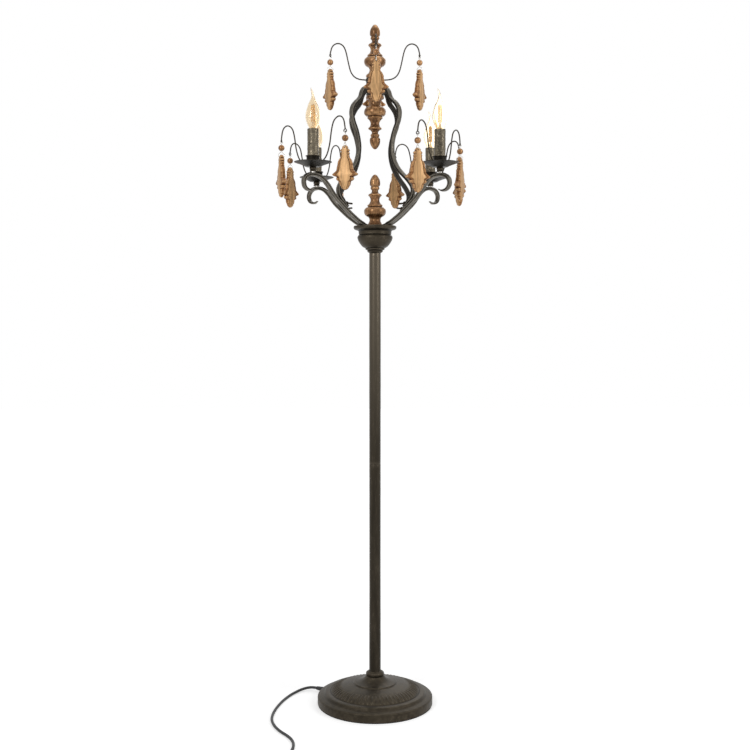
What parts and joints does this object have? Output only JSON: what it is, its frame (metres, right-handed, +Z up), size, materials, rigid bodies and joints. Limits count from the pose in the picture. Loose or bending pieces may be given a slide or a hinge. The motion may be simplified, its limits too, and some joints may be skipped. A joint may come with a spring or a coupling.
{
  "type": "candlestick floor lamp",
  "caption": "Floor lamp with a round weighted base, slim pole, scrolled arms with candle lights on drip pans, a lyre cage of forged bars, turned finials and swinging carved pendants.",
  "frame": {"origin": "centre of the flat face of the base that rests on the floor", "axes": "+Z up along the pole; the front of the lamp faces -Y; the arms stand at 45 degrees to X and Y"},
  "size_m": [0.4706, 0.6829, 1.6465],
  "materials": {
    "felt": "matt felt",
    "bronze": "aged bronze, mottled",
    "cast_iron": "rough cast",
    "zinc_steel": "zinc plated",
    "turned_wood": "stained and waxed",
    "phenolic": "moulded",
    "pewter": "hammered, mottled grey and bronze",
    "cap_brass": "bright",
    "bulb_glass": "clear with an amber tint",
    "cord_black": "matt",
    "plug_black": "matt",
    "bead_wood": "waxed",
    "carved_wood": "carved, waxed, dark in the hollows"
  },
  "bodies": {
    "frame": {"base_pad": "felt", "base_cover": "bronze", "base_weight": "cast_iron", "base_collar": "bronze", "threaded_nipples": "zinc_steel", "lock_nuts": "zinc_steel", "pole_inserts": "zinc_steel", "lower_pole": "bronze", "pole_coupler": "zinc_steel", "upper_pole": "bronze", "arm_bowl": "bronze", "arm_plate": "bronze", "lower_finial": "turned_wood", "top_hub": "bronze", "top_finial": "turned_wood", "drop_finial": "turned_wood", "light_arm_1": "bronze", "light_arm_2": "bronze", "light_arm_3": "bronze", "light_arm_4": "bronze", "lyre_bars": "bronze", "joint_studs": "bronze", "top_hooks": "bronze", "pan_hooks": "bronze", "pan_necks": "bronze", "drip_pans": "bronze", "candle_cups": "bronze", "lamp_sockets": "phenolic", "candle_sleeves": "pewter", "bulb_caps": "cap_brass", "bulb_glasses": "bulb_glass", "cord_grommet": "cord_black", "inner_wiring": "cord_black", "cord_tube": "cord_black", "cord_coil": "cord_black", "mains_plug": "plug_black"},
    "link_1": {"bead_link_1": "bead_wood"},
    "drop_1": {"pendant_1": "carved_wood"},
    "link_2": {"bead_link_2": "bead_wood"},
    "drop_2": {"pendant_2": "carved_wood"},
    "link_3": {"bead_link_3": "bead_wood"},
    "drop_3": {"pendant_3": "carved_wood"},
    "link_4": {"bead_link_4": "bead_wood"},
    "drop_4": {"pendant_4": "carved_wood"},
    "link_5": {"bead_link_5": "bead_wood"},
    "drop_5": {"pendant_5": "carved_wood"},
    "link_6": {"bead_link_6": "bead_wood"},
    "drop_6": {"pendant_6": "carved_wood"},
    "link_7": {"bead_link_7": "bead_wood"},
    "drop_7": {"pendant_7": "carved_wood"},
    "link_8": {"bead_link_8": "bead_wood"},
    "drop_8": {"pendant_8": "carved_wood"},
    "link_9": {"bead_link_9": "bead_wood"},
    "drop_9": {"pendant_9": "carved_wood"},
    "link_10": {"bead_link_10": "bead_wood"},
    "drop_10": {"pendant_10": "carved_wood"},
    "link_11": {"bead_link_11": "bead_wood"},
    "drop_11": {"pendant_11": "carved_wood"},
    "link_12": {"bead_link_12": "bead_wood"},
    "drop_12": {"pendant_12": "carved_wood"}
  },
  "joints": [
    {"name": "link_swing_1", "type": "hinge", "parent": "frame", "child": "link_1", "pos_m": [0.21193, 0.06944, 1.34264], "axis": [-0.3114, 0.9503, 0], "range_deg": [-25, 25]},
    {"name": "pendant_swing_1", "type": "hinge", "parent": "link_1", "child": "drop_1", "pos_m": [0.21193, 0.06944, 1.30754], "axis": [0.9503, 0.3114, 0], "range_deg": [-20, 20]},
    {"name": "link_swing_2", "type": "hinge", "parent": "frame", "child": "link_2", "pos_m": [0.05733, 0.19463, 1.34764], "axis": [-0.7143, 0.6998, 0], "range_deg": [-25, 25]},
    {"name": "pendant_swing_2", "type": "hinge", "parent": "link_2", "child": "drop_2", "pos_m": [0.05733, 0.19463, 1.31254], "axis": [0.6998, 0.7143, 0], "range_deg": [-20, 20]},
    {"name": "link_swing_3", "type": "hinge", "parent": "frame", "child": "link_3", "pos_m": [-0.08488, 0.22633, 1.34764], "axis": [-0.0077, -1, 0], "range_deg": [-25, 25]},
    {"name": "pendant_swing_3", "type": "hinge", "parent": "link_3", "child": "drop_3", "pos_m": [-0.08488, 0.22633, 1.31254], "axis": [-1, 0.0077, 0], "range_deg": [-20, 20]},
    {"name": "link_swing_4", "type": "hinge", "parent": "frame", "child": "link_4", "pos_m": [-0.20922, 0.06717, 1.33764], "axis": [-0.5849, -0.8111, 0], "range_deg": [-25, 25]},
    {"name": "pendant_swing_4", "type": "hinge", "parent": "link_4", "child": "drop_4", "pos_m": [-0.20922, 0.06717, 1.30254], "axis": [-0.8111, 0.5849, 0], "range_deg": [-20, 20]},
    {"name": "link_swing_5", "type": "hinge", "parent": "frame", "child": "link_5", "pos_m": [-0.22189, -0.0794, 1.34764], "axis": [0.3369, -0.9415, 0], "range_deg": [-25, 25]},
    {"name": "pendant_swing_5", "type": "hinge", "parent": "link_5", "child": "drop_5", "pos_m": [-0.22189, -0.0794, 1.31254], "axis": [-0.9415, -0.3369, 0], "range_deg": [-20, 20]},
    {"name": "link_swing_6", "type": "hinge", "parent": "frame", "child": "link_6", "pos_m": [-0.0718, -0.21455, 1.35064], "axis": [0.9483, -0.3173, 0], "range_deg": [-25, 25]},
    {"name": "pendant_swing_6", "type": "hinge", "parent": "link_6", "child": "drop_6", "pos_m": [-0.0718, -0.21455, 1.31554], "axis": [-0.3173, -0.9483, 0], "range_deg": [-20, 20]},
    {"name": "link_swing_7", "type": "hinge", "parent": "frame", "child": "link_7", "pos_m": [0.08919, -0.2294, 1.34364], "axis": [0.932, 0.3624, 0], "range_deg": [-25, 25]},
    {"name": "pendant_swing_7", "type": "hinge", "parent": "link_7", "child": "drop_7", "pos_m": [0.08919, -0.2294, 1.30854], "axis": [0.3624, -0.932, 0], "range_deg": [-20, 20]},
    {"name": "link_swing_8", "type": "hinge", "parent": "frame", "child": "link_8", "pos_m": [0.20067, -0.06096, 1.34364], "axis": [0.421, 0.9071, 0], "range_deg": [-25, 25]},
    {"name": "pendant_swing_8", "type": "hinge", "parent": "link_8", "child": "drop_8", "pos_m": [0.20067, -0.06096, 1.30854], "axis": [0.9071, -0.421, 0], "range_deg": [-20, 20]},
    {"name": "link_swing_9", "type": "hinge", "parent": "frame", "child": "link_9", "pos_m": [0.1085, 0, 1.56764], "axis": [0.5, 0.866, 0], "range_deg": [-25, 25]},
    {"name": "pendant_swing_9", "type": "hinge", "parent": "link_9", "child": "drop_9", "pos_m": [0.1085, 0, 1.53254], "axis": [0.866, -0.5, 0], "range_deg": [-20, 20]},
    {"name": "link_swing_10", "type": "hinge", "parent": "frame", "child": "link_10", "pos_m": [0, 0.1085, 1.56764], "axis": [-0.9781, -0.2079, 0], "range_deg": [-25, 25]},
    {"name": "pendant_swing_10", "type": "hinge", "parent": "link_10", "child": "drop_10", "pos_m": [0, 0.1085, 1.53254], "axis": [-0.2079, 0.9781, 0], "range_deg": [-20, 20]},
    {"name": "link_swing_11", "type": "hinge", "parent": "frame", "child": "link_11", "pos_m": [-0.1085, 0, 1.56764], "axis": [0.5, -0.866, 0], "range_deg": [-25, 25]},
    {"name": "pendant_swing_11", "type": "hinge", "parent": "link_11", "child": "drop_11", "pos_m": [-0.1085, 0, 1.53254], "axis": [-0.866, -0.5, 0], "range_deg": [-20, 20]},
    {"name": "link_swing_12", "type": "hinge", "parent": "frame", "child": "link_12", "pos_m": [0, -0.1085, 1.56764], "axis": [1, 0, 0], "range_deg": [-25, 25]},
    {"name": "pendant_swing_12", "type": "hinge", "parent": "link_12", "child": "drop_12", "pos_m": [0, -0.1085, 1.53254], "axis": [0, -1, 0], "range_deg": [-20, 20]}
  ]
}
